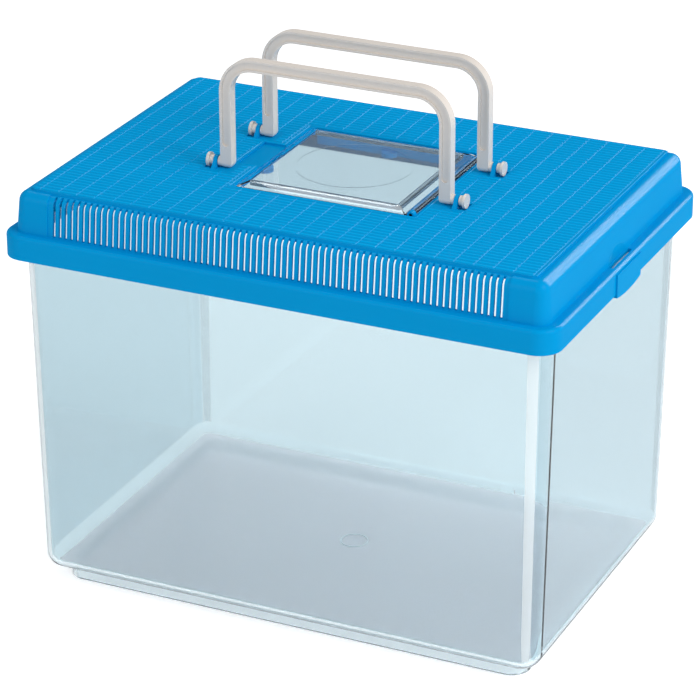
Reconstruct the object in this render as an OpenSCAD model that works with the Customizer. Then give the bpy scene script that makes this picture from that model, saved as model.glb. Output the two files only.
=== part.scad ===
// Pet keeper: a clear tank with a vented lift-off lid, a clear hatch door and two folding grips.
// Millimetres. +Z is up, +X is the right-hand end, -Y is the front.
// The origin lies under the middle of the tank, on the surface it stands on.

/* [Tank] */
// Outer length of the tank at its mouth
tank_l = 286.8; // [240:1:340]
// Outer width of the tank at its mouth
tank_w = 192.8; // [170:1:230]
// Height of the tank from the ground to its rim
tank_h = 197.5; // [150:1:260]
// Thickness of the tank walls
tank_wall = 2.2; // [1.6:0.1:3]
// Thickness of the tank floor
floor_t = 2.4; // [1.8:0.1:4]
// How much each wall leans in from the mouth to the floor
tank_draft = 3.4; // [1:0.1:6]
// Radius of the upright corners of the tank
tank_corner_r = 15; // [9:0.5:20]
// Radius where the walls turn into the floor
tank_bottom_r = 8; // [5:0.5:12]
// Width of the rim that stands out round the mouth
rim_out = 4; // [2.5:0.1:6]
// Thickness of that rim
rim_t = 2.2; // [1.5:0.1:3]
// Height of the foot ring under the floor
foot_h = 7.5; // [4:0.5:12]
// Distance of the foot ring from the side of the tank
foot_inset = 9.5; // [9:0.5:16]
// Thickness of the foot ring
foot_t = 2.2; // [1.6:0.1:4]
// Radius of the moulding mark in the middle of the floor
gate_r = 4.2; // [2:0.1:8]

/* [Lid] */
// Thickness of the lid shell
lid_wall = 2; // [1.4:0.1:2.6]
// Gap between the tank rim and the lid that rests on it
seat_gap = 0.3; // [0.2:0.05:1]
// Gap between the edge of the tank rim and the skirt round it
rim_gap = 0.6; // [0.4:0.1:1.5]
// Height of the skirt that hangs round the tank rim
skirt_h = 12.8; // [8:0.1:20]
// Radius of the upright corners of the skirt
lid_corner_r = 12; // [8:0.5:16]
// Radius of the edge on top of the skirt
shoulder_r = 2; // [1:0.1:3]
// Width of the shoulder between the skirt and the dome
ledge = 5.2; // [4:0.1:8]
// Height of the dome above the shoulder
dome_h = 21.2; // [16:0.1:30]
// How much each dome wall leans in towards the top
dome_draft = 2.3; // [1:0.1:4]
// Radius of the upright corners of the dome
dome_corner_r = 7.5; // [5.5:0.5:12]
// Radius of the edge round the top of the dome
dome_edge_r = 5.5; // [3:0.5:7]
// Width of the plain border at each end of the raised panel
border_l = 6; // [6:0.5:12]
// Width of the plain border along each side of the raised panel
border_w = 4.4; // [4:0.2:10]
// Height of the raised panel above that border
panel_rise = 1.2; // [0.5:0.1:2]
// Radius of the corners of the raised panel
panel_corner_r = 3; // [1:0.5:6]

/* [Vents] */
// Number of slots in each long side
vent_count = 74; // [20:1:74]
// Distance from one slot to the next
vent_pitch = 3.31; // [2.6:0.01:3.31]
// Width of a slot
vent_w = 1.4; // [0.8:0.1:1.6]
// Height of the solid wall left under the slots
vent_foot = 0.5; // [0.5:0.1:4]
// How far the slots stay back from the edge of the raised panel
vent_top_gap = 0.8; // [0.5:0.1:2]
// Depth of the shallow field that the slots lie in
field_depth = 0.5; // [0.2:0.1:0.8]
// Plain width of that field beyond the last slot
field_margin = 3; // [2:0.5:6]

/* [Latches] */
// Width of the tongue at each end of the skirt
tongue_w = 33; // [20:1:50]
// How far the tongue stands out from the skirt
tongue_out = 0.9; // [0.4:0.1:1.5]
// How far the tongue hangs below the skirt in its middle
tongue_drop = 2.8; // [1.6:0.1:6]
// How far the ends of the tongue hang below the skirt
tongue_end = 1.4; // [0.4:0.1:1.5]
// Distance of the tongue from the middle of its end, towards the front
latch_shift = 3.4; // [0:0.2:8]
// Length of the relief slot over the tongue
relief_l = 26.8; // [15:0.2:40]
// Width of that slot
relief_w = 2.2; // [1:0.1:2.6]
// Depth of the thumb scoop in the end wall of the dome
scoop_depth = 1.2; // [0.5:0.1:1.3]
// Radius of the ball that shapes the scoop
scoop_r = 85; // [40:1:120]

/* [Hatch] */
// Length of the door between its latch side and its hinge side
door_l = 95; // [78:1:97]
// Width of the door along its hinge
door_w = 91.5; // [78:0.5:100]
// Distance of the middle of the door from the middle of the lid
door_shift = 1.8; // [0:0.1:2.5]
// How far the door stands above the panel
door_rise = 1.7; // [1.2:0.1:3]
// How far the door sinks into the panel
door_sink = 1.5; // [1:0.1:1.6]
// Thickness of the door
door_wall = 1.5; // [1.2:0.1:1.8]
// Width of the sloping border round the top of the door
bevel_w = 6; // [4:0.1:8]
// Height of the upright edge under that border
door_edge_h = 0.8; // [0.4:0.1:1.2]
// Radius of the upright corners of the door
door_corner_r = 4; // [3:0.5:6]
// Clearance round the door
door_gap = 0.6; // [0.4:0.1:1.2]
// Clearance under the door
door_seat_gap = 0.3; // [0.2:0.05:0.5]
// Width of the ledge that the door stands over
hatch_ledge = 2; // [2:0.1:5]
// Depth of the lip that hangs round the hatch opening
lip_depth = 8.9; // [5:0.1:10]
// Radius of the ring moulded on the door
door_ring_r = 30.3; // [15:0.1:30.5]
// Width of the ribs under the edge of the door's top
door_rib_w = 2.4; // [1.5:0.1:4]
// Width of the finger well beside the door
well_w = 32; // [20:1:36]
// How far the finger well reaches out from the door
well_out = 13; // [8:0.5:14]
// Depth of the finger well
well_depth = 1.2; // [0.6:0.1:3]
// Radius of the two half-round lugs in the hatch opening
lug_r = 4.4; // [3:0.1:6]
// Thickness of those lugs
lug_t = 2.2; // [1.6:0.1:4]
// Distance of the lug on the latch side from the middle of the lid, towards the front
lug_y = 14; // [0:1:30]

/* [Hatch hinge] */
// Radius of the barrel along the hinge side of the door
barrel_r = 1.5; // [1.3:0.1:1.8]
// Height of the hinge line above the panel
hinge_h = 0.3; // [0:0.1:0.6]
// Radius of the pin at each end of the barrel
hinge_pin_r = 1; // [0.8:0.1:1.2]
// Clearance round a hinge pin in its ear
hinge_fit = 0.06; // [0.04:0.01:0.1]
// Wall of an ear round its pin
ear_wall = 0.8; // [0.7:0.1:1.2]
// Thickness of an ear along its pin
ear_t = 3.2; // [2:0.1:4]
// Gap between an ear and the door
ear_gap = 0.44; // [0.3:0.02:0.8]

/* [Grips] */
// Outer width of a grip
grip_w = 127; // [123:1:150]
// Height of a grip above its pivot line
grip_h = 57; // [45:1:60]
// Distance of each pivot line from the middle of the lid
grip_y = 24.3; // [22:0.1:30]
// Distance of the middle of each grip from the middle of the lid
grip_shift = 1; // [-1:0.5:2]
// Width of the grip bar, as seen from the front
bar_w = 6.2; // [5:0.1:8]
// Thickness of the grip bar
bar_t = 5.6; // [4.6:0.1:5.6]
// Outer radius of the top corners of a grip
grip_corner_r = 18.5; // [12:0.5:25]
// Width of the rims beside the channel in the bar
rim_w = 1.2; // [0.8:0.1:1.6]
// Depth of the channel in each face of the bar
channel_depth = 0.9; // [0.5:0.1:1.4]
// Height of the solid end of each leg above its pivot line
solid_end = 11; // [8:0.5:16]

/* [Grip bearings] */
// Height of the pivot line above the panel
pivot_h = 3.1; // [3.1:0.1:4]
// Radius of the pivot pins
pivot_r = 1.8; // [1.4:0.1:2]
// Clearance round a pivot pin in its arch
pivot_fit = 0.06; // [0.04:0.01:0.1]
// Radius of the head on a pivot pin
head_r = 3.7; // [3:0.1:3.8]
// Thickness of that head
head_t = 1.3; // [1:0.1:2]
// Gap between the leg and the arch beside it
leg_gap = 2; // [0.6:0.1:2.4]
// Radius of the shoulders on the pin, on both sides of the arch
boss_r = 2.6; // [2.2:0.1:2.8]
// Gap between each shoulder and the arch
boss_gap = 0.3; // [0.3:0.05:0.5]
// Gap between the arch and the pin head
head_gap = 2.6; // [1:0.1:3]
// Thickness of an arch
arch_t = 2; // [1.6:0.1:3.6]
// Length of an arch at its foot
arch_l = 11.4; // [10:0.1:14]
// Wall of the arch over its pin
arch_wall = 1.1; // [1:0.1:2]

/* [Hidden] */
$fn = 96;

// A cut runs this far past the face it opens
past = 1;

// Heights
shoulder_z = tank_h + seat_gap + lid_wall;
skirt_z = shoulder_z - skirt_h;
dome_foot_z = shoulder_z - lid_wall;
dome_z = shoulder_z + dome_h;
panel_z = dome_z + panel_rise;
floor_z = foot_h + floor_t;

// Corner radii, kept large enough for the rounded edges and the lean of the walls
corner_rest = 0.2;
tank_r = max(tank_corner_r, corner_rest + top_inset(tank_draft, tank_h - foot_h, tank_bottom_r));
dome_r = max(dome_corner_r, corner_rest + top_inset(dome_draft, dome_z - dome_foot_z, dome_edge_r));

// Plan sizes of the tank
base_l = tank_l - 2 * tank_draft;
base_w = tank_w - 2 * tank_draft;
foot_l = base_l - 2 * foot_inset;
foot_w = base_w - 2 * foot_inset;
foot_corner_r = max(tank_r - foot_inset / 2, foot_t + 1);

// Plan sizes of the lid, which follow the tank
cavity_l = tank_l + 2 * (rim_out + rim_gap);
cavity_w = tank_w + 2 * (rim_out + rim_gap);
lid_l = cavity_l + 2 * lid_wall;
lid_w = cavity_w + 2 * lid_wall;
dome_l = lid_l - 2 * ledge;
dome_w = lid_w - 2 * ledge;
top_l = dome_l - 2 * dome_draft;
top_w = dome_w - 2 * dome_draft;
panel_l = top_l - 2 * border_l;
panel_w = top_w - 2 * border_w;
vent_y = panel_w / 2 + vent_top_gap;
field_l = (vent_count - 1) * vent_pitch + vent_w + 2 * field_margin;

// The hatch
door_x0 = door_shift - door_l / 2;
door_x1 = door_shift + door_l / 2;
door_top = panel_z + door_rise;
door_bottom = panel_z - door_sink;
bevel_z = door_bottom + door_edge_h;
bevel_lean = atan((door_top - bevel_z) / bevel_w);
ear_r = hinge_pin_r + hinge_fit + ear_wall;
hinge_x = door_x1 + ear_r + ear_gap;
hinge_z = panel_z + hinge_h;
ledge_z = door_bottom - door_seat_gap;
recess_x0 = door_x0 - door_gap;
recess_x1 = hinge_x + max(barrel_r, ear_r) + door_gap / 2;
recess_w = door_w + 2 * door_gap;
open_x0 = door_x0 + hatch_ledge;
open_x1 = door_x1 - hatch_ledge;
open_w = door_w - 2 * hatch_ledge;
lip_z = panel_z - lip_depth;
ear_y0 = recess_w / 2 - ear_t;
barrel_l = 2 * (ear_y0 - ear_gap);
well_x0 = door_x0 - well_out;
well_z = panel_z - well_depth;
ring_w = 0.8;
ring_h = 0.15;
rib_r = 1;

// The grips
pivot_z = panel_z + pivot_h;
leg_x = grip_w / 2 - bar_w;
arch_x = grip_w / 2 + leg_gap;
head_x = arch_x + arch_t + head_gap;
arch_crown_r = pivot_r + pivot_fit + arch_wall;
pocket_side = 0.8;
pocket_depth = max(head_r - pivot_h, 0) + 0.4;
channel_w = bar_w - 2 * rim_w;

// How far the flat top of a block lies behind the foot of its wall
function top_inset(draft, h, edge) = (h - edge) * draft / h + edge * sqrt(1 + draft * draft / (h * h));

// Section of one wall: from the corner axis out to half, leaning in, with a rounded top edge
module wall_section(half, draft, z0, z1, edge) {
    lean = atan(draft / (z1 - z0));
    cx = half - top_inset(draft, z1 - z0, edge);
    cz = z1 - edge;
    polygon([[0, z0], [half, z0], [cx + edge * cos(lean), cz + edge * sin(lean)], [cx, cz],
             [cx, z1], [0, z1]]);
    intersection() {
        translate([cx, cz]) circle(edge);
        translate([cx, cz]) square(edge);
    }
}

// Block on a rounded rectangle whose walls lean in by draft and whose top edge is rounded
module block(l, w, r, draft, z0, z1, edge) {
    span([-l / 2 + r, -w / 2 + r, z0], [l / 2 - r, w / 2 - r, z1]);
    for (quarter = [0:3]) {
        reach = quarter % 2 == 0 ? l : w;
        side = quarter % 2 == 0 ? w : l;
        rotate([0, 0, 90 * quarter])
            translate([reach / 2 - r, side / 2 - r, 0]) {
                rotate([90, 0, 0]) linear_extrude(side - 2 * r) wall_section(r, draft, z0, z1, edge);
                rotate_extrude(angle = 90) wall_section(r, draft, z0, z1, edge);
            }
    }
}

// The same block upside down: widest at its top, with a rounded bottom edge
module tub(l, w, r, draft, z0, z1, edge) {
    translate([0, 0, z1 + z0]) mirror([0, 0, 1]) block(l, w, r, draft, z0, z1, edge);
}

module rounded_rect(l, w, r) {
    square([l - 2 * r, w], center = true);
    square([l, w - 2 * r], center = true);
    for (sx = [-1, 1], sy = [-1, 1])
        translate([sx * (l / 2 - r), sy * (w / 2 - r)]) circle(r);
}

module slab(l, w, r, z0, z1) {
    translate([0, 0, z0]) linear_extrude(z1 - z0) rounded_rect(l, w, r);
}

// Box given by its lowest and highest corners
module span(low, high) {
    translate(low) cube(high - low);
}

// Rod along X between two places
module rod_x(r, x0, x1, y, z) {
    translate([x0, y, z]) rotate([0, 90, 0]) cylinder(r = r, h = x1 - x0);
}

// Rod along Y between two places
module rod_y(r, y0, y1, x, z) {
    translate([x, y1, z]) rotate([90, 0, 0]) cylinder(r = r, h = y1 - y0);
}

// Tank: drafted walls with a rim, a floor and a foot ring
module tank_outside() {
    tub(tank_l, tank_w, tank_r, tank_draft, foot_h, tank_h, tank_bottom_r);
}

module tank_inside() {
    in = 2 * tank_wall;
    tub(tank_l - in, tank_w - in, tank_r - tank_wall, tank_draft, floor_z, tank_h + past,
        tank_bottom_r - tank_wall);
}

module foot_ring() {
    difference() {
        slab(foot_l, foot_w, foot_corner_r, 0, foot_h + past);
        slab(foot_l - 2 * foot_t, foot_w - 2 * foot_t, foot_corner_r - foot_t, -past, foot_h + 2 * past);
    }
}

module gate_mark() {
    difference() {
        translate([0, 0, foot_h - 0.6]) cylinder(r = gate_r, h = past);
        translate([0, 0, foot_h - past]) cylinder(r = gate_r - 0.9, h = past);
    }
    translate([0, 0, foot_h - 1]) cylinder(r = 1.1, h = 2 * past);
}

module tank() color([0.80, 0.90, 0.93, 0.45]) {
    difference() {
        union() {
            tank_outside();
            slab(tank_l + 2 * rim_out, tank_w + 2 * rim_out, tank_r + past, tank_h - rim_t, tank_h);
        }
        tank_inside();
    }
    foot_ring();
    gate_mark();
}

// Lid shell: skirt, shoulder, dome and raised panel
module dome(inset) {
    block(dome_l - 2 * inset, dome_w - 2 * inset, dome_r - inset, dome_draft, dome_foot_z - inset / 2,
          dome_z - inset, dome_edge_r - inset);
}

module vent_field() {
    for (side = [-1, 1])
        span([-field_l / 2, side > 0 ? vent_y - past : -dome_w, shoulder_z + vent_foot - 0.2],
             [field_l / 2, side > 0 ? dome_w : -vent_y + past, dome_z + past]);
}

module lid_outside() {
    block(lid_l, lid_w, lid_corner_r, 0, skirt_z, shoulder_z, shoulder_r);
    difference() {
        dome(0);
        difference() {
            vent_field();
            dome(field_depth);
        }
    }
    slab(panel_l, panel_w, panel_corner_r, dome_z - lid_wall, panel_z);
}

module lid_inside() {
    slab(cavity_l, cavity_w, lid_corner_r - lid_wall, skirt_z - past, shoulder_z - lid_wall);
    dome(lid_wall);
    slab(panel_l - 2 * lid_wall, panel_w - 2 * lid_wall, panel_corner_r, dome_z - 2 * lid_wall,
         panel_z - lid_wall);
}

module vents() {
    first = -(vent_count - 1) * vent_pitch / 2;
    for (i = [0:vent_count - 1], side = [-1, 1])
        let (x = first + i * vent_pitch)
        span([x - vent_w / 2, side > 0 ? vent_y : -lid_w, shoulder_z + vent_foot],
             [x + vent_w / 2, side > 0 ? lid_w : -vent_y, panel_z + past]);
}

// Tongue with a bowed lower edge at one end of the skirt
module tongue(side) {
    chord = tongue_w / 2;
    sag = tongue_drop - tongue_end;
    bow = (chord * chord + sag * sag) / (2 * sag);
    x0 = cavity_l / 2;
    translate([side > 0 ? x0 : -x0 - lid_wall - tongue_out, -latch_shift, 0])
        rotate([90, 0, 90])
        linear_extrude(lid_wall + tongue_out) {
            translate([-chord, skirt_z]) square([tongue_w, skirt_h - shoulder_r]);
            intersection() {
                translate([0, skirt_z - tongue_drop + bow]) circle(bow);
                translate([-chord, skirt_z - tongue_drop]) square([tongue_w, tongue_drop + past]);
            }
        }
}

// Slot through the shoulder that frees the tongue
module relief(side) {
    x0 = dome_l / 2;
    span([side > 0 ? x0 : -x0 - relief_w, -latch_shift - relief_l / 2, shoulder_z - 2 * lid_wall],
         [side > 0 ? x0 + relief_w : -x0, -latch_shift + relief_l / 2, shoulder_z + past]);
}

module scoop(side) {
    x0 = dome_l / 2 - ledge;
    intersection() {
        translate([side * (dome_l / 2 - scoop_depth + scoop_r), -latch_shift, shoulder_z]) sphere(scoop_r);
        span([side > 0 ? x0 : -lid_l, -lid_w / 4, shoulder_z], [side > 0 ? lid_l : -x0, lid_w / 4, panel_z]);
    }
}

// Frame round the hatch opening, with a lip on three sides
module hatch_frame() {
    top = panel_z - lid_wall + 0.2;
    span([recess_x0 - lid_wall, -recess_w / 2 - lid_wall, ledge_z - lid_wall],
         [recess_x1 + lid_wall, recess_w / 2 + lid_wall, top]);
    span([open_x0 + lid_wall, -open_w / 2 - lid_wall, lip_z],
         [open_x1 + lid_wall, open_w / 2 + lid_wall, ledge_z]);
    span([well_x0 - lid_wall, -well_w / 2 - lid_wall, well_z - lid_wall],
         [open_x0, well_w / 2 + lid_wall, top]);
}

module hatch_cuts() {
    translate([(recess_x0 + recess_x1) / 2, 0, 0])
        slab(recess_x1 - recess_x0, recess_w, door_corner_r, ledge_z, panel_z + past);
    translate([(open_x0 + open_x1) / 2, 0, 0])
        slab(open_x1 - open_x0, open_w, door_corner_r - past, lip_z - past, panel_z + past);
    span([open_x0, -open_w / 2, lip_z - past],
         [open_x0 + lid_wall + past, open_w / 2, ledge_z - lid_wall]);
    span([well_x0, -well_w / 2, well_z], [recess_x0 + past, well_w / 2, panel_z + past]);
}

// Half-round lug in the hatch opening, reaching in from a side that faces the way turn gives
module hatch_lug(x, y, z, turn) {
    translate([x, y, z])
        rotate([0, 0, turn])
        intersection() {
            cylinder(r = lug_r, h = lug_t);
            span([-past, -lug_r, 0], [lug_r, lug_r, lug_t]);
        }
}

module ear(side) {
    y0 = side > 0 ? ear_y0 : -recess_w / 2;
    y1 = side > 0 ? recess_w / 2 : -ear_y0;
    span([hinge_x - ear_r, y0, ledge_z], [recess_x1, y1, hinge_z]);
    rod_y(ear_r, y0, y1, hinge_x, hinge_z);
}

// Arch that holds one pivot pin; its legs run along Y
module arch_shape() {
    crown = pivot_h + arch_crown_r * 0.4;
    union() {
        translate([0, pivot_h]) circle(arch_crown_r);
        polygon([[-arch_l / 2, -lid_wall / 2], [arch_l / 2, -lid_wall / 2], [arch_l / 2, 0],
                 [arch_crown_r * 0.916, crown], [-arch_crown_r * 0.916, crown], [-arch_l / 2, 0]]);
    }
}

module arch(side, y) {
    translate([side > 0 ? arch_x : -arch_x - arch_t, y, panel_z])
        rotate([90, 0, 90])
        linear_extrude(arch_t) arch_shape();
}

module arch_bore(side, y) {
    x0 = arch_x - past / 2;
    x1 = arch_x + arch_t + past / 2;
    rod_x(pivot_r + pivot_fit, side > 0 ? x0 : -x1, side > 0 ? x1 : -x0, y, pivot_z);
}

module head_pocket(side, y) {
    x0 = arch_x + arch_t;
    x1 = head_x + head_t + pocket_side;
    half = head_r + pocket_side;
    span([side > 0 ? x0 : -x1, y - half, panel_z - pocket_depth],
         [side > 0 ? x1 : -x0, y + half, panel_z + past]);
}

module lid() color([0.0, 0.60, 0.87]) {
    difference() {
        union() {
            difference() {
                union() {
                    difference() {
                        lid_outside();
                        lid_inside();
                        vents();
                        for (side = [-1, 1]) scoop(side);
                    }
                    hatch_frame();
                    for (side = [-1, 1]) tongue(side);
                }
                hatch_cuts();
                for (side = [-1, 1]) relief(side);
            }
            hatch_lug(open_x0, -lug_y, ledge_z - lug_t, 0);
            hatch_lug(0, open_w / 2, lip_z, -90);
            for (side = [-1, 1]) ear(side);
            translate([grip_shift, 0, 0])
                for (side = [-1, 1], y = [-grip_y, grip_y]) arch(side, y);
        }
        rod_y(hinge_pin_r + hinge_fit, -recess_w / 2, recess_w / 2, hinge_x, hinge_z);
        translate([grip_shift, 0, 0])
            for (side = [-1, 1], y = [-grip_y, grip_y]) {
                arch_bore(side, y);
                head_pocket(side, y);
            }
    }
}

// Plate on a rounded rectangle with an upright edge to zb and a sloping border w wide up to z1
module bevelled(l, w, r, border, z0, zb, z1) {
    intersection() {
        slab(l, w, r, z0, z1);
        rotate([90, 0, 0]) linear_extrude(w, center = true) bevel_profile(l / 2, border, z0, zb, z1);
        rotate([90, 0, 90]) linear_extrude(l, center = true) bevel_profile(w / 2, border, z0, zb, z1);
    }
}

module bevel_profile(half, border, z0, zb, z1) {
    polygon([[-half, z0], [half, z0], [half, zb], [half - border, z1], [border - half, z1], [-half, zb]]);
}

// Hatch door: a shallow clear tray, mouth down, with a sloping border, three ribs and a hinge barrel
module hatch_door() color([0.86, 0.92, 0.94, 0.45]) {
    in_l = door_l - 2 * door_wall;
    in_w = door_w - 2 * door_wall;
    in_border = bevel_w + door_wall * (tan(bevel_lean / 2) - 1);
    in_rise = in_border * tan(bevel_lean);
    in_top = door_top - door_wall;
    rib_y = door_w / 2 - bevel_w - door_rib_w;
    translate([door_shift, 0, 0]) {
        difference() {
            bevelled(door_l, door_w, door_corner_r, bevel_w, door_bottom, bevel_z, door_top);
            bevelled(in_l, in_w, door_corner_r - door_wall, in_border, in_top - in_rise - past,
                     in_top - in_rise, in_top);
        }
        difference() {
            door_rib(0, door_bottom);
            door_rib(door_rib_w, door_bottom - past);
            span([-door_l / 2, -rib_y, door_bottom - past], [0, rib_y, in_top]);
        }
    }
    translate([0, 0, door_top - door_wall / 2])
        difference() {
            cylinder(r = door_ring_r, h = door_wall / 2 + ring_h);
            translate([0, 0, -past]) cylinder(r = door_ring_r - ring_w, h = door_wall + 2 * past);
        }
    span([door_x1 - door_wall, -barrel_l / 2, door_bottom], [hinge_x, barrel_l / 2, panel_z]);
    rod_y(barrel_r, -barrel_l / 2, barrel_l / 2, hinge_x, hinge_z);
    pin_end = recess_w / 2 - ear_gap;
    rod_y(hinge_pin_r, -pin_end, pin_end, hinge_x, hinge_z);
}

// Block under the flat top of the door, drawn in by inset
module door_rib(inset, z0) {
    drawn_in = 2 * (bevel_w + inset);
    slab(door_l - drawn_in, door_w - drawn_in, rib_r, z0, door_top - door_wall / 2);
}

// Outline of a grip over its pivot line: legs w wide, outer size l by h, outer corners r
module bail(l, h, w, r) {
    difference() {
        union() {
            translate([-l / 2, 0]) square([l, h - r]);
            translate([-l / 2 + r, 0]) square([l - 2 * r, h]);
            for (sx = [-1, 1]) translate([sx * (l / 2 - r), h - r]) circle(r);
        }
        translate([-l / 2 + w, -past]) square([l - 2 * w, h - r + past]);
        translate([-l / 2 + r, -past]) square([l - 2 * r, h - w + past]);
        for (sx = [-1, 1]) translate([sx * (l / 2 - r), h - r]) circle(r - w);
    }
}

module channel() {
    l = grip_w - 2 * rim_w;
    difference() {
        bail(l, grip_h - rim_w, channel_w, grip_corner_r - rim_w);
        translate([-grip_w, -past]) square([2 * grip_w, solid_end + past]);
    }
    for (sx = [-1, 1])
        translate([sx * (grip_w / 2 - bar_w / 2), solid_end]) circle(channel_w / 2);
}

module grip(y) {
    translate([grip_shift, y, pivot_z]) {
        difference() {
            rotate([90, 0, 0])
                linear_extrude(bar_t, center = true) bail(grip_w, grip_h, bar_w, grip_corner_r);
            for (face = [-1, 1])
                translate([0, face * bar_t / 2, 0])
                    rotate([90, 0, 0])
                    linear_extrude(2 * channel_depth, center = true) channel();
        }
        for (side = [-1, 1])
            mirror([side > 0 ? 0 : 1, 0, 0]) {
                intersection() {
                    rod_x(bar_t / 2, leg_x, grip_w / 2, 0, 0);
                    rod_y(bar_w / 2, -bar_t, bar_t, leg_x + bar_w / 2, 0);
                }
                rod_x(pivot_r, leg_x + bar_w / 2, head_x + head_t, 0, 0);
                rod_x(boss_r, leg_x + bar_w / 2, arch_x - boss_gap, 0, 0);
                rod_x(boss_r, arch_x + arch_t + boss_gap, head_x + head_t, 0, 0);
                rod_x(head_r, head_x, head_x + head_t, 0, 0);
            }
    }
}

module front_grip() color([0.93, 0.91, 0.88]) grip(-grip_y);

module rear_grip() color([0.93, 0.91, 0.88]) grip(grip_y);

tank();
lid();
hatch_door();
front_grip();
rear_grip();
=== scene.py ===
"""Finishes a plastic pet keeper: clear tank, blue vented lid, clear hatch door, ivory grips."""
import math

import bmesh
import bpy
from bpy.props import FloatProperty, FloatVectorProperty, PointerProperty
from mathutils import Matrix, Vector


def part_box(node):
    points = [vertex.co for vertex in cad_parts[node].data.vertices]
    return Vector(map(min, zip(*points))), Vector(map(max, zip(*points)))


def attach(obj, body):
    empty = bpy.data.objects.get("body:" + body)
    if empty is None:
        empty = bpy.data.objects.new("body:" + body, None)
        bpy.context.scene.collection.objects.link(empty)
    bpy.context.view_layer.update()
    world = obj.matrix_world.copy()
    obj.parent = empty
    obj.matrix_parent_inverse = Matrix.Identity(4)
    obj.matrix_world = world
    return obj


bl_info = {
    "name": "Pet Keeper",
    "version": (1, 0, 0),
    "blender": (4, 5, 0),
    "location": "View3D > Sidebar > Pet Keeper",
    "description": "Finishes a clear plastic pet keeper with a vented blue lid, and sets its stage",
    "category": "Object",
}

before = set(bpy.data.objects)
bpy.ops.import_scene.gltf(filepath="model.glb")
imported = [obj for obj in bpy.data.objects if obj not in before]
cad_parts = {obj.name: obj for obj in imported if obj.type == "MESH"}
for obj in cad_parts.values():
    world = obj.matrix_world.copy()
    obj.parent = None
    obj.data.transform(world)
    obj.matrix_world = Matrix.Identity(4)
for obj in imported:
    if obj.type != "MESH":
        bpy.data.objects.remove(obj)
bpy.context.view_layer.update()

MM = 0.001

# Place of the grips, read from the frame
GRIP_LOW, GRIP_HIGH = (Vector(corner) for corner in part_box("front_grip"))

# The raised panel of the lid, as the part's source sets it
PANEL_HALF_X = 136.3 * MM
PANEL_HALF_Y = 91.0 * MM
PANEL_Z = 222.2 * MM
PANEL_MARGIN = 0.6 * MM
BAR_MARGIN = 0.5 * MM
LEAST_END_COLUMN = 2.0 * MM

# The hatch recess in the panel, its finger well, and the gap from them to the bars round them
RECESS_LOW = Vector((-46.3, -46.35)) * MM
RECESS_HIGH = Vector((53.8, 46.35)) * MM
WELL_X = -58.7 * MM
WELL_HALF_Y = 16.0 * MM
OUTLINE_GAP = 1.2 * MM

# The bearings of the grips on the panel
ARCH_HALF_Y = 5.7 * MM
BEARING_L = 16.0 * MM
PIVOT_Y = 24.3 * MM

# How a slat is laid: the slope of its sides, how deep it stands in its ground, and the shortest one
SLAT_SLOPE = 1.1
SUNK = 0.02 * MM
SHORTEST_SLAT = 0.8 * MM

# The ribs under the top of the door
DOOR_MIDDLE_X = 1.8 * MM
RIB_HALF = Vector((41.6, 39.9)) * MM
RIB_TOP = 222.35 * MM

# Heights between which the tank's walls stand upright, and between which its floor lies
WALL_LOW, WALL_HIGH = 12.0 * MM, 196.0 * MM
FLOOR_LOW, FLOOR_HIGH = 7.0 * MM, 10.5 * MM
FLOOR_TOP = 9.9 * MM

# Turns of the tank's walls, in degrees from a long side towards an end, that bound the painted
# highlight on the rounded corners and the painted shade on the short walls
HIGHLIGHT_FROM, HIGHLIGHT_TO = 23.0, 47.0
HIGHLIGHT_CORE_FROM, HIGHLIGHT_CORE_TO = 28.0, 42.0
END_FROM = 50.0

# Upward part of a face's direction, up to which it is a wall and from which it is level
UPRIGHT = 0.2
LEVEL = 0.98

# The round moulding mark in the middle of the tank's floor
MARK_H = 0.35 * MM
MARK_T = 0.8 * MM
MARK_SIDES = 64

# What the plastics share: their refraction, and the scales of the patterns in them, per metre
PLASTIC_IOR = 1.49
FLOW_SCALE = 14.0
GRAIN_SCALE = 2600.0
WAVE_SCALE = 22.0
HAZE_SCALE = 60.0
WAVE_DEPTH = 0.4 * MM
GRAIN_STRENGTH = 0.3

# The stage: its floor, the brightness added to it, and the light of the walls and the ceiling
STAGE_HALF = 3.0
STAGE_DROP = 0.2 * MM
STAGE_LIFT = 0.5
STAGE_MIRRORED = 0.4
CEILING_FROM, CEILING_TO = 0.1, 0.35
CEILING_LIGHT = 0.15
ROOM_LIGHT = 0.6


class KeeperSizes(bpy.types.PropertyGroup):
    """Sizes of the fine relief on the lid, and of the mark on the floor."""

    row_pitch: FloatProperty(
        name="Row pitch", description="Distance between two rows of slats on the panel",
        default=3.415 * MM, subtype="DISTANCE")
    column_pitch: FloatProperty(
        name="Column pitch", description="Distance between two fine ribs on the panel",
        default=10.22 * MM, subtype="DISTANCE")
    column_shift: FloatProperty(
        name="Column shift", description="Place of the first rib right of the middle",
        default=1.36 * MM, subtype="DISTANCE")
    slat_width: FloatProperty(
        name="Slat width", description="Width of a slat across its row",
        default=1.5 * MM, subtype="DISTANCE")
    rib_width: FloatProperty(
        name="Rib width", description="Width of a fine rib between two columns",
        default=0.4 * MM, subtype="DISTANCE")
    relief: FloatProperty(
        name="Relief", description="Height of the slats and ribs above the panel",
        default=0.16 * MM, subtype="DISTANCE")
    outline_width: FloatProperty(
        name="Outline width", description="Width of the bars round the hatch and its well",
        default=0.6 * MM, subtype="DISTANCE")
    mark_radius: FloatProperty(
        name="Mark radius", description="Radius of the round mark on the tank's floor",
        default=7.6 * MM, subtype="DISTANCE")


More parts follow.
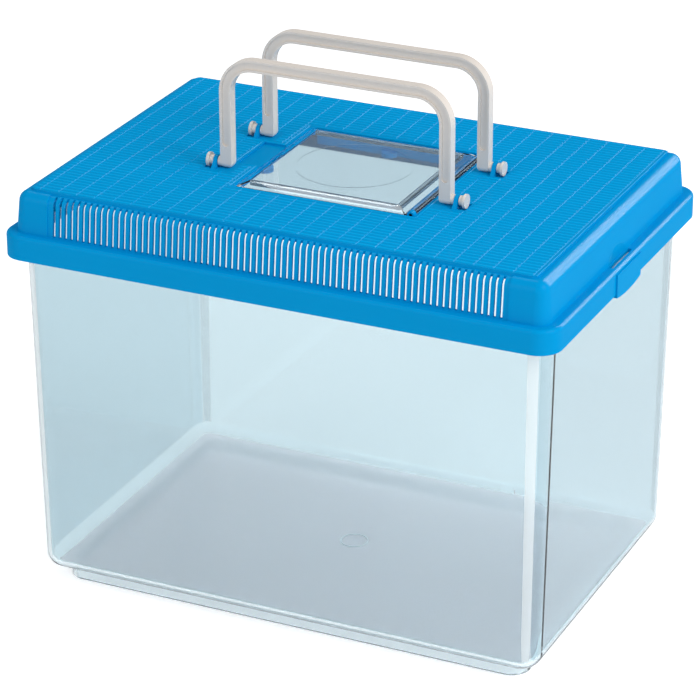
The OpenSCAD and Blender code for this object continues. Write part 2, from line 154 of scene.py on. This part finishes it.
class KeeperColours(bpy.types.PropertyGroup):
    """Colours of the plastics and of the stage."""

    lid_blue: FloatVectorProperty(
        name="Lid blue", description="Colour of the lid's plastic",
        subtype="COLOR", size=4, default=(0.0, 0.30, 0.66, 1.0))
    # Painted highlight: the slats, ribs and bars take a lighter copy of the lid's blue, standing in for
    # light catching the fine relief
    relief_highlight_blue: FloatVectorProperty(
        name="Relief blue", description="Colour of the slats on the panel",
        subtype="COLOR", size=4, default=(0.0, 0.37, 0.76, 1.0))
    grip_ivory: FloatVectorProperty(
        name="Grip ivory", description="Colour of the grips' plastic",
        subtype="COLOR", size=4, default=(0.76, 0.70, 0.64, 1.0))
    tank_tint: FloatVectorProperty(
        name="Tank tint", description="Tint of the clear tank",
        subtype="COLOR", size=4, default=(0.72, 0.81, 0.84, 1.0))
    door_tint: FloatVectorProperty(
        name="Door tint", description="Tint of the clear door",
        subtype="COLOR", size=4, default=(0.60, 0.72, 0.78, 1.0))
    # Painted shade: the short walls get a darker tint than the long ones, standing in for how the light
    # falls on them
    end_painted_shade: FloatVectorProperty(
        name="End tint", description="Tint of the two short walls of the tank",
        subtype="COLOR", size=4, default=(0.56, 0.68, 0.73, 1.0))
    # Painted highlight on the tank's upright rounded corners; the floor mark's own milky plastic shares
    # this colour
    corner_highlight_and_mark_milk: FloatVectorProperty(
        name="Corner milk", description="Milky tint of the tank's upright corners and floor mark",
        subtype="COLOR", size=4, default=(0.84, 0.90, 0.92, 1.0))
    # Partly the floor's frosted finish, partly painted shade: the grey darkens the floor where the
    # table under the tank lies in shade
    floor_frost_and_shade: FloatVectorProperty(
        name="Floor frost", description="Frosted grey of the tank's floor",
        subtype="COLOR", size=4, default=(0.80, 0.79, 0.82, 1.0))
    # Painted shade: the ribs under the door's edge get a dark copy of the clear plastic
    rib_painted_shade: FloatVectorProperty(
        name="Rib smoke", description="Darker look of the ribs under the door",
        subtype="COLOR", size=4, default=(0.25, 0.31, 0.36, 1.0))
    floor_white: FloatVectorProperty(
        name="Floor white", description="Colour of the stage's floor",
        subtype="COLOR", size=4, default=(0.85, 0.86, 0.87, 1.0))


def sizes():
    return bpy.context.scene.keeper_sizes


def colours():
    return bpy.context.scene.keeper_colours


def new_material(name):
    """A material with its shader, its output and its node tree."""
    material = bpy.data.materials.new(name)
    material.use_nodes = True
    tree = material.node_tree
    shader = tree.nodes["Principled BSDF"]
    return material, tree, shader


def add_noise(tree, scale, detail):
    """Noise in the object's own space, in metres."""
    place = tree.nodes.new("ShaderNodeTexCoord")
    noise = tree.nodes.new("ShaderNodeTexNoise")
    noise.inputs["Scale"].default_value = scale
    noise.inputs["Detail"].default_value = detail
    tree.links.new(place.outputs["Object"], noise.inputs["Vector"])
    return noise


def add_range(tree, source, low, high):
    """Maps a factor from 0 to 1 onto low to high."""
    spread = tree.nodes.new("ShaderNodeMapRange")
    spread.inputs["To Min"].default_value = low
    spread.inputs["To Max"].default_value = high
    tree.links.new(source, spread.inputs["Value"])
    return spread


def add_bump(tree, shader, height, strength, distance):
    """Bumps the shader's surface by a pattern, to a depth in metres."""
    bump = tree.nodes.new("ShaderNodeBump")
    bump.inputs["Strength"].default_value = strength
    bump.inputs["Distance"].default_value = distance
    tree.links.new(height, bump.inputs["Height"])
    tree.links.new(bump.outputs["Normal"], shader.inputs["Normal"])
    return bump


def moulded_plastic(name, colour, shift, roughness, specular, skin, grain_depth):
    """Opaque plastic: slow colour drift from the flow of the melt, fine mould grain in its skin."""
    material, tree, shader = new_material(name)
    drift = add_noise(tree, FLOW_SCALE, 2.0)
    mix = tree.nodes.new("ShaderNodeMix")
    mix.data_type = "RGBA"
    darker = [c * (1 - shift) for c in colour[:3]]
    lighter = [min(1.0, c * (1 + shift)) for c in colour[:3]]
    mix.inputs["A"].default_value = (*darker, 1.0)
    mix.inputs["B"].default_value = (*lighter, 1.0)
    tree.links.new(drift.outputs["Fac"], mix.inputs["Factor"])
    tree.links.new(mix.outputs["Result"], shader.inputs["Base Color"])
    grain = add_noise(tree, GRAIN_SCALE, 2.0)
    gloss = add_range(tree, grain.outputs["Fac"], roughness * 0.85, roughness * 1.15)
    tree.links.new(gloss.outputs["Result"], shader.inputs["Roughness"])
    bump = add_bump(tree, shader, grain.outputs["Fac"], GRAIN_STRENGTH, grain_depth)
    tree.links.new(bump.outputs["Normal"], shader.inputs["Coat Normal"])
    shader.inputs["IOR"].default_value = PLASTIC_IOR
    shader.inputs["Specular IOR Level"].default_value = specular
    shader.inputs["Coat Weight"].default_value = skin
    shader.inputs["Coat Roughness"].default_value = roughness
    return material


def clear_plastic(name, tint, roughness, waviness, let_through, clearness=1.0):
    """Clear moulded plastic, slightly tinted and wavy, that lets part of the lamps' light through."""
    material, tree, shader = new_material(name)
    shader.inputs["Base Color"].default_value = tint
    shader.inputs["Transmission Weight"].default_value = clearness
    shader.inputs["IOR"].default_value = PLASTIC_IOR
    waves = add_noise(tree, WAVE_SCALE, 1.0)
    add_bump(tree, shader, waves.outputs["Fac"], waviness, WAVE_DEPTH)
    haze_and_highlight = add_noise(tree, HAZE_SCALE, 3.0)
    gloss = add_range(tree, haze_and_highlight.outputs["Fac"], roughness * 0.5, roughness * 1.5)
    tree.links.new(gloss.outputs["Result"], shader.inputs["Roughness"])
    paths = tree.nodes.new("ShaderNodeLightPath")
    passing = tree.nodes.new("ShaderNodeBsdfTransparent")
    passing.inputs["Color"].default_value = (let_through, let_through, let_through, 1.0)
    either = tree.nodes.new("ShaderNodeMixShader")
    tree.links.new(paths.outputs["Is Shadow Ray"], either.inputs["Fac"])
    tree.links.new(shader.outputs["BSDF"], either.inputs[1])
    tree.links.new(passing.outputs["BSDF"], either.inputs[2])
    output = tree.nodes["Material Output"]
    tree.links.new(either.outputs["Shader"], output.inputs["Surface"])
    return material


def dress(node, material, angle=35.0):
    """Gives a carried-over CAD node its material and smooth shading over its rounded edges."""
    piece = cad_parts[node]
    piece.data.materials.clear()
    piece.data.materials.append(material)
    for polygon in piece.data.polygons:
        polygon.use_smooth = True
    piece.data.set_sharp_from_angle(angle=math.radians(angle))
    return piece


def add_piece(context, name, mesh, material):
    """A piece that scene.py makes by itself, from its mesh and its material."""
    data = bpy.data.meshes.new(name)
    mesh.to_mesh(data)
    mesh.free()
    piece = bpy.data.objects.new(name, data)
    context.scene.collection.objects.link(piece)
    data.materials.append(material)
    return piece


def paint_faces(piece, material, wanted):
    """Gives the faces that wanted picks, by their middle and their direction, a material of their own;
    here that paints highlight and shade, and the floor's frost, onto chosen faces.
    """
    place = len(piece.data.materials)
    piece.data.materials.append(material)
    picked = [face for face in piece.data.polygons if wanted(face.center, face.normal)]
    if not picked:
        raise RuntimeError("no face of " + piece.name + " takes the finish " + material.name)
    for face in picked:
        face.material_index = place


def turn_of_wall(middle, direction):
    """Turn of the outside of an upright wall, in degrees from a long side towards an end."""
    upright = abs(direction.z) < UPRIGHT and WALL_LOW < middle.z < WALL_HIGH
    if not upright or direction.x * middle.x < 0 or direction.y * middle.y < 0:
        return None
    return math.degrees(math.atan2(abs(direction.x), abs(direction.y)))


def on_corner_highlight(middle, direction):
    """True on the part of the upright rounded corners that gets a painted highlight."""
    turn = turn_of_wall(middle, direction)
    return turn is not None and HIGHLIGHT_FROM < turn < HIGHLIGHT_TO


def on_corner_highlight_core(middle, direction):
    """True on the middle of that part, where the painted highlight is strongest."""
    turn = turn_of_wall(middle, direction)
    return turn is not None and HIGHLIGHT_CORE_FROM < turn < HIGHLIGHT_CORE_TO


def on_tank_end(middle, direction):
    """True on the two short walls, outside and inside, with their half of the corners, which get
    painted shade.
    """
    turn = math.degrees(math.atan2(abs(direction.x), abs(direction.y)))
    return abs(direction.z) < UPRIGHT and turn > END_FROM and WALL_LOW < middle.z < WALL_HIGH


def on_tank_floor(middle, direction):
    """True on the top and the underside of the tank's floor."""
    return abs(direction.z) > LEVEL and FLOOR_LOW < middle.z < FLOOR_HIGH


def on_door_rib(middle, direction):
    """True on the ribs under the edge of the door's flat top."""
    inside = abs(middle.x - DOOR_MIDDLE_X) < RIB_HALF.x and abs(middle.y) < RIB_HALF.y
    return inside and middle.z < RIB_TOP


class KEEPER_OT_tank(bpy.types.Operator):
    """Finish the clear tank, with painted highlight on its upright corners, painted shade on its short
    walls, and a frosted floor partly darkened by painted shade
    """

    bl_idname = "keeper.tank"
    bl_label = "Tank"

    def execute(self, context):
        tint = colours()
        clear = clear_plastic("tank_clear", tint.tank_tint, 0.03, waviness=0.04, let_through=0.5)
        tank = dress("tank", clear)
        # Painted shade: a darker copy of the clear plastic on the short walls
        end = clear_plastic("tank_end_painted_shade", tint.end_painted_shade, 0.03, waviness=0.04, let_through=0.5)
        paint_faces(tank, end, on_tank_end)
        # Painted highlight: the rounded upright corners take a whiter, less clear copy of the plastic
        haze_and_highlight = clear_plastic("tank_corner_highlight", tint.corner_highlight_and_mark_milk, 0.04, waviness=0.04, let_through=0.5,
                             clearness=0.75)
        paint_faces(tank, haze_and_highlight, on_corner_highlight)
        # Painted highlight, stronger: a still whiter, less clear copy on the middle of the corners
        milk_and_highlight = clear_plastic("tank_corner_highlight_core", tint.corner_highlight_and_mark_milk, 0.06, waviness=0.04, let_through=0.5,
                             clearness=0.5)
        paint_faces(tank, milk_and_highlight, on_corner_highlight_core)
        # Partly frosted finish, partly painted shade: a grey, less clear copy of the plastic on the
        # tank's floor
        floor = clear_plastic("tank_floor", tint.floor_frost_and_shade, 0.12, waviness=0.04, let_through=0.5,
                              clearness=0.65)
        paint_faces(tank, floor, on_tank_floor)
        return {"FINISHED"}


class KEEPER_OT_floor_mark(bpy.types.Operator):
    """Lay the low round moulding mark on the tank's floor"""

    bl_idname = "keeper.floor_mark"
    bl_label = "Floor mark"

    def execute(self, context):
        outer = sizes().mark_radius
        inner = outer - MARK_T
        slope = MARK_H / 2
        base, top = FLOOR_TOP - SUNK, FLOOR_TOP + MARK_H
        profile = [(outer, base), (outer - slope, top), (inner + slope, top), (inner, base)]
        mesh = bmesh.new()
        rings = []
        for i in range(MARK_SIDES):
            turn = math.tau * i / MARK_SIDES
            across, along = math.cos(turn), math.sin(turn)
            rings.append([mesh.verts.new((r * across, r * along, z)) for r, z in profile])
        for ring, following in zip(rings, rings[1:] + rings[:1]):
            for j in range(len(profile)):
                k = (j + 1) % len(profile)
                mesh.faces.new((ring[j], following[j], following[k], ring[k]))
        milk_and_highlight = clear_plastic("mark_milk", colours().corner_highlight_and_mark_milk, 0.1, waviness=0.0, let_through=0.5,
                             clearness=0.3)
        piece = add_piece(context, "floor_mark", mesh, milk_and_highlight)
        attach(piece, "tank")
        return {"FINISHED"}


class KEEPER_OT_lid(bpy.types.Operator):
    """Finish the blue lid"""

    bl_idname = "keeper.lid"
    bl_label = "Lid"

    def execute(self, context):
        blue = moulded_plastic("lid_blue", colours().lid_blue, shift=0.04, roughness=0.2,
                               specular=0.0, skin=0.08, grain_depth=0.01 * MM)
        dress("lid", blue)
        return {"FINISHED"}


class KEEPER_OT_panel_relief(bpy.types.Operator):
    """Lay the fine slats and ribs on the lid's panel, in a lighter blue that is painted highlight"""

    bl_idname = "keeper.panel_relief"
    bl_label = "Panel relief"

    def execute(self, context):
        s = sizes()
        blocked = panel_keep_outs()
        mesh = bmesh.new()
        columns = column_lines(s)
        rows = int(PANEL_HALF_Y / s.row_pitch)
        gap = s.rib_width
        for row in range(-rows, rows + 1):
            y = row * s.row_pitch
            for left, right in zip(columns, columns[1:]):
                low = (left + gap, y - s.slat_width / 2)
                high = (right - gap, y + s.slat_width / 2)
                for piece in clipped(low, high, blocked, 0):
                    add_slat(mesh, piece, s.relief)
        for x in columns[1:-1]:
            low = (x - s.rib_width / 2, -PANEL_HALF_Y + gap)
            high = (x + s.rib_width / 2, PANEL_HALF_Y - gap)
            for piece in clipped(low, high, blocked, 1):
                add_slat(mesh, piece, s.relief)
        # The bars round the hatch and its well share that lighter blue: painted highlight of the recess
        # edges
        bar_height = s.relief * 1.6
        for piece in outline_bars(s.outline_width):
            add_slat(mesh, piece, bar_height)
        # Bar along the panel's right edge: painted highlight of the panel's step edge, in the same
        # lighter blue
        edge = PANEL_HALF_X - BAR_MARGIN
        bar = ((edge, -PANEL_HALF_Y + gap), (edge + gap, PANEL_HALF_Y - gap))
        add_slat(mesh, bar, bar_height)
        # Painted highlight: a lighter blue than the lid's own
        blue = moulded_plastic("relief_highlight_blue", colours().relief_highlight_blue, shift=0.05, roughness=0.3,
                               specular=0.0, skin=0.06, grain_depth=0.01 * MM)
        piece = add_piece(context, "panel_relief", mesh, blue)
        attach(piece, "lid")
        return {"FINISHED"}


def column_lines(s):
    """X of every rib line, with the two ends of the panel."""
    count = int((PANEL_HALF_X - s.column_shift) / s.column_pitch)
    inner = [s.column_shift + i * s.column_pitch for i in range(-count - 1, count + 1)]
    inner = [x for x in inner if abs(x) < PANEL_HALF_X - LEAST_END_COLUMN]
    return [-PANEL_HALF_X + PANEL_MARGIN, *inner, PANEL_HALF_X - PANEL_MARGIN]


def panel_keep_outs():
    """Rectangles on the panel that the relief stays off: the hatch, its well and the grip bearings."""
    rim = 1.0 * MM
    clear = OUTLINE_GAP + rim
    areas = [
        ((RECESS_LOW.x - clear, RECESS_LOW.y - clear),
         (RECESS_HIGH.x + clear, RECESS_HIGH.y + clear)),
        ((WELL_X - clear, -WELL_HALF_Y - clear), (RECESS_LOW.x, WELL_HALF_Y + clear)),
    ]
    reach = ARCH_HALF_Y + rim / 2
    for y in (-PIVOT_Y, PIVOT_Y):
        areas.append(((GRIP_LOW.x - 2 * rim, y - reach), (GRIP_LOW.x + BEARING_L, y + reach)))
        areas.append(((GRIP_HIGH.x - BEARING_L, y - reach), (GRIP_HIGH.x + 2 * rim, y + reach)))
    return areas


def outline_bars(width):
    """Thin bars round the hatch and its finger well."""
    half = width / 2
    left, right = RECESS_LOW.x - OUTLINE_GAP, RECESS_HIGH.x + OUTLINE_GAP
    front, rear = RECESS_LOW.y - OUTLINE_GAP, RECESS_HIGH.y + OUTLINE_GAP
    end, side = WELL_X - OUTLINE_GAP, WELL_HALF_Y + OUTLINE_GAP
    return [
        ((left - half, front - half), (right + half, front + half)),
        ((left - half, rear - half), (right + half, rear + half)),
        ((right - half, front + half), (right + half, rear - half)),
        ((left - half, front + half), (left + half, -side - half)),
        ((left - half, side + half), (left + half, rear - half)),
        ((end - half, -side - half), (left + half, -side + half)),
        ((end - half, side - half), (left + half, side + half)),
        ((end - half, -side + half), (end + half, side - half)),
    ]


def clipped(low, high, blocked, along):
    """Parts of a rectangle that are left along one direction when the blocked areas are taken out."""
    across = 1 - along
    spans = [(low[along], high[along])]
    for area_low, area_high in blocked:
        if area_high[across] <= low[across] or area_low[across] >= high[across]:
            continue
        cut = []
        for start, end in spans:
            if area_high[along] <= start or area_low[along] >= end:
                cut.append((start, end))
                continue
            if area_low[along] > start:
                cut.append((start, area_low[along]))
            if area_high[along] < end:
                cut.append((area_high[along], end))
        spans = cut
    pieces = []
    for start, end in spans:
        if end - start > SHORTEST_SLAT:
            ends = [0.0, 0.0], [0.0, 0.0]
            ends[0][along], ends[1][along] = start, end
            ends[0][across], ends[1][across] = low[across], high[across]
            pieces.append((tuple(ends[0]), tuple(ends[1])))
    return pieces


def add_slat(mesh, piece, height):
    """A low bar with sloped sides standing on the panel."""
    (x0, y0), (x1, y1) = piece
    slope = height * SLAT_SLOPE
    base = [(x0, y0), (x1, y0), (x1, y1), (x0, y1)]
    top = [(x0 + slope, y0 + slope), (x1 - slope, y0 + slope),
           (x1 - slope, y1 - slope), (x0 + slope, y1 - slope)]
    low = [mesh.verts.new((x, y, PANEL_Z - SUNK)) for x, y in base]
    high = [mesh.verts.new((x, y, PANEL_Z + height)) for x, y in top]
    mesh.faces.new(high)
    for i in range(4):
        j = (i + 1) % 4
        mesh.faces.new((low[i], low[j], high[j], high[i]))


class KEEPER_OT_hatch_door(bpy.types.Operator):
    """Finish the clear hatch door, with painted shade on its ribs"""

    bl_idname = "keeper.hatch_door"
    bl_label = "Hatch door"

    def execute(self, context):
        clear = clear_plastic("door_clear", colours().door_tint, 0.02, waviness=0.02, let_through=0.95)
        door = dress("hatch_door", clear, angle=12.0)
        # Painted shade: a darker, less clear copy of the door's plastic on its ribs
        ribs = clear_plastic("door_ribs_painted_shade", colours().rib_painted_shade, 0.05, waviness=0.02, let_through=0.95,
                             clearness=0.6)
        paint_faces(door, ribs, on_door_rib)
        return {"FINISHED"}


class KEEPER_OT_grips(bpy.types.Operator):
    """Finish the two folding grips"""

    bl_idname = "keeper.grips"
    bl_label = "Grips"

    def execute(self, context):
        ivory = moulded_plastic("grip_ivory", colours().grip_ivory, shift=0.03, roughness=0.32,
                                specular=0.4, skin=0.0, grain_depth=0.02 * MM)
        for node in ("front_grip", "rear_grip"):
            dress(node, ivory)
        return {"FINISHED"}


class KEEPER_OT_stage(bpy.types.Operator):
    """Set the floor, the lamps, the world and the camera"""

    bl_idname = "keeper.stage"
    bl_label = "Stage"

    def execute(self, context):
        add_floor(context)
        add_lamps(context)
        set_world(context)
        add_camera(context)
        return {"FINISHED"}


def add_math(tree, operation, first, second):
    """The outcome of one sum or comparison of two values."""
    node = tree.nodes.new("ShaderNodeMath")
    node.operation = operation
    tree.links.new(first, node.inputs[0])
    tree.links.new(second, node.inputs[1])
    return node.outputs["Value"]


def seen_directly(tree, mirrored):
    """1 for what is seen, straight or through clear plastic, mirrored for a reflection, and else 0."""
    paths = tree.nodes.new("ShaderNodeLightPath").outputs
    gloss = add_range(tree, paths["Is Glossy Ray"], 0.0, mirrored)
    seen = add_math(tree, "MAXIMUM", paths["Is Camera Ray"], paths["Is Transmission Ray"])
    return add_math(tree, "MAXIMUM", seen, gloss.outputs["Result"])


def add_floor(context):
    """Pale floor that looks white to the camera and through clear plastic, but keeps its shadows."""
    data = bpy.data.meshes.new("floor")
    half = STAGE_HALF
    corners = [(-half, -half, 0), (half, -half, 0), (half, half, 0), (-half, half, 0)]
    data.from_pydata(corners, [], [(0, 1, 2, 3)])
    floor = bpy.data.objects.new("floor", data)
    floor.location.z = -STAGE_DROP
    context.scene.collection.objects.link(floor)
    material, tree, shader = new_material("floor_white")
    shader.inputs["Base Color"].default_value = colours().floor_white
    shader.inputs["Roughness"].default_value = 0.7
    shader.inputs["Specular IOR Level"].default_value = 0.0
    shader.inputs["Emission Color"].default_value = (1.0, 1.0, 1.0, 1.0)
    lift = add_range(tree, seen_directly(tree, STAGE_MIRRORED), 0.0, STAGE_LIFT)
    tree.links.new(lift.outputs["Result"], shader.inputs["Emission Strength"])
    material.cycles.emission_sampling = "NONE"
    data.materials.append(material)


def add_lamp(context, name, place, target, size, power, along=(0, 0, 1)):
    """A rectangular lamp; the second side of its size runs along the given direction."""
    data = bpy.data.lights.new(name, "AREA")
    data.shape = "RECTANGLE"
    data.size, data.size_y = size
    data.energy = power
    lamp = bpy.data.objects.new(name, data)
    lamp.location = place
    back = (Vector(place) - Vector(target)).normalized()
    across = Vector(along).cross(back).normalized()
    axes = Matrix((across, back.cross(across), back)).transposed()
    lamp.matrix_world = Matrix.Translation(place) @ axes.to_4x4()
    lamp.visible_camera = False
    context.scene.collection.objects.link(lamp)
    return lamp


def add_lamps(context):
    """A large lamp on the right, a weak one in front, and two that only gloss shows."""
    add_lamp(context, "right_lamp", place=(1.9, -0.3, 1.5), target=(0, 0, 0.12),
             size=(1.3, 1.3), power=31.0)
    add_lamp(context, "front_lamp", place=(-0.9, -2.2, 1.1), target=(0, 0, 0.12),
             size=(1.4, 1.4), power=9.0)
    strip = add_lamp(context, "edge_lamp", place=(0.66, 1.49, 0.85), target=(0, 0, 0.2),
                     size=(0.45, 1.35), power=56.0, along=(-0.43, 0, 0.52))
    above = add_lamp(context, "top_lamp", place=(-0.77, 0.63, 1.95), target=(0, 0, 0.22),
                     size=(0.8, 0.8), power=10.0, along=(0, 1, 0))
    for lamp in (strip, above):
        lamp.visible_diffuse = False
        lamp.visible_transmission = False
    # The strip is kept off the door, which would glare, and off the grips, which the door mirrors
    lit = bpy.data.collections.new("edge_lit")
    for piece in (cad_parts["tank"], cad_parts["lid"], bpy.data.objects["panel_relief"]):
        lit.objects.link(piece)
    strip.light_linking.receiver_collection = lit


def set_world(context):
    """White walls where they are seen, a dimmer ceiling in reflections, soft light on what is dull."""
    world = bpy.data.worlds.new("studio")
    context.scene.world = world
    world.use_nodes = True
    tree = world.node_tree
    background = tree.nodes["Background"]
    background.inputs["Color"].default_value = (1.0, 1.0, 1.0, 1.0)
    paths = tree.nodes.new("ShaderNodeLightPath").outputs
    place = tree.nodes.new("ShaderNodeTexCoord")
    parts = tree.nodes.new("ShaderNodeSeparateXYZ")
    tree.links.new(place.outputs["Generated"], parts.inputs["Vector"])
    ceiling = add_range(tree, parts.outputs["Z"], 1.0, CEILING_LIGHT)
    ceiling.inputs["From Min"].default_value = CEILING_FROM
    ceiling.inputs["From Max"].default_value = CEILING_TO
    mirrored = add_math(tree, "MULTIPLY", paths["Is Glossy Ray"], ceiling.outputs["Result"])
    dull = add_range(tree, paths["Is Glossy Ray"], ROOM_LIGHT, 0.0)
    seen = add_math(tree, "MAXIMUM", paths["Is Camera Ray"], paths["Is Transmission Ray"])
    seen = add_math(tree, "MAXIMUM", seen, mirrored)
    strength = add_math(tree, "MAXIMUM", seen, dull.outputs["Result"])
    tree.links.new(strength, background.inputs["Strength"])


def add_camera(context):
    """Camera at the photograph's place, from angles and distances in real sizes."""
    azimuth = math.radians(24.91)
    elevation = math.radians(24.37)
    roll = math.radians(-0.14)
    distance = 1714.04 * MM
    aim = Vector((0, 0, 101.01 * MM))
    shift_right, shift_up = -2.51 * MM, 18.49 * MM
    focal_length_px, picture_px = 3276.5, 700
    level = math.cos(elevation)
    back = Vector((math.sin(azimuth) * level, -math.cos(azimuth) * level, math.sin(elevation)))
    right = Vector((math.cos(azimuth), math.sin(azimuth), 0))
    up = back.cross(right)
    turned_right = right * math.cos(roll) + up * math.sin(roll)
    turned_up = back.cross(turned_right)
    aim = aim + turned_right * shift_right + turned_up * shift_up
    data = bpy.data.cameras.new("camera")
    data.sensor_width = 36.0
    data.lens = data.sensor_width * focal_length_px / picture_px
    data.clip_end = 20.0
    camera = bpy.data.objects.new("camera", data)
    axes = Matrix((turned_right, turned_up, back)).transposed()
    camera.matrix_world = Matrix.Translation(aim + back * distance) @ axes.to_4x4()
    context.scene.collection.objects.link(camera)
    context.scene.camera = camera
    context.scene.view_settings.view_transform = "Standard"


class KEEPER_PT_sidebar(bpy.types.Panel):
    """Lists the steps that finish the keeper"""

    bl_label = "Pet Keeper"
    bl_idname = "KEEPER_PT_sidebar"
    bl_space_type = "VIEW_3D"
    bl_region_type = "UI"
    bl_category = "Pet Keeper"

    def draw(self, context):
        column = self.layout.column()
        for step in STEPS:
            column.operator(step.bl_idname)
        for group in (context.scene.keeper_sizes, context.scene.keeper_colours):
            for name in group.bl_rna.properties.keys():
                if name not in ("rna_type", "name"):
                    column.prop(group, name)


STEPS = (
    KEEPER_OT_tank,
    KEEPER_OT_floor_mark,
    KEEPER_OT_lid,
    KEEPER_OT_panel_relief,
    KEEPER_OT_hatch_door,
    KEEPER_OT_grips,
    KEEPER_OT_stage,
)
CLASSES = (KeeperSizes, KeeperColours, *STEPS, KEEPER_PT_sidebar)


def register():
    for one in CLASSES:
        bpy.utils.register_class(one)
    bpy.types.Scene.keeper_sizes = PointerProperty(type=KeeperSizes)
    bpy.types.Scene.keeper_colours = PointerProperty(type=KeeperColours)


def unregister():
    del bpy.types.Scene.keeper_colours
    del bpy.types.Scene.keeper_sizes
    for one in reversed(CLASSES):
        bpy.utils.unregister_class(one)


def main():
    register()
    bpy.ops.keeper.tank()
    bpy.ops.keeper.floor_mark()
    bpy.ops.keeper.lid()
    bpy.ops.keeper.panel_relief()
    bpy.ops.keeper.hatch_door()
    bpy.ops.keeper.grips()
    bpy.ops.keeper.stage()


if __name__ == "__main__":
    main()
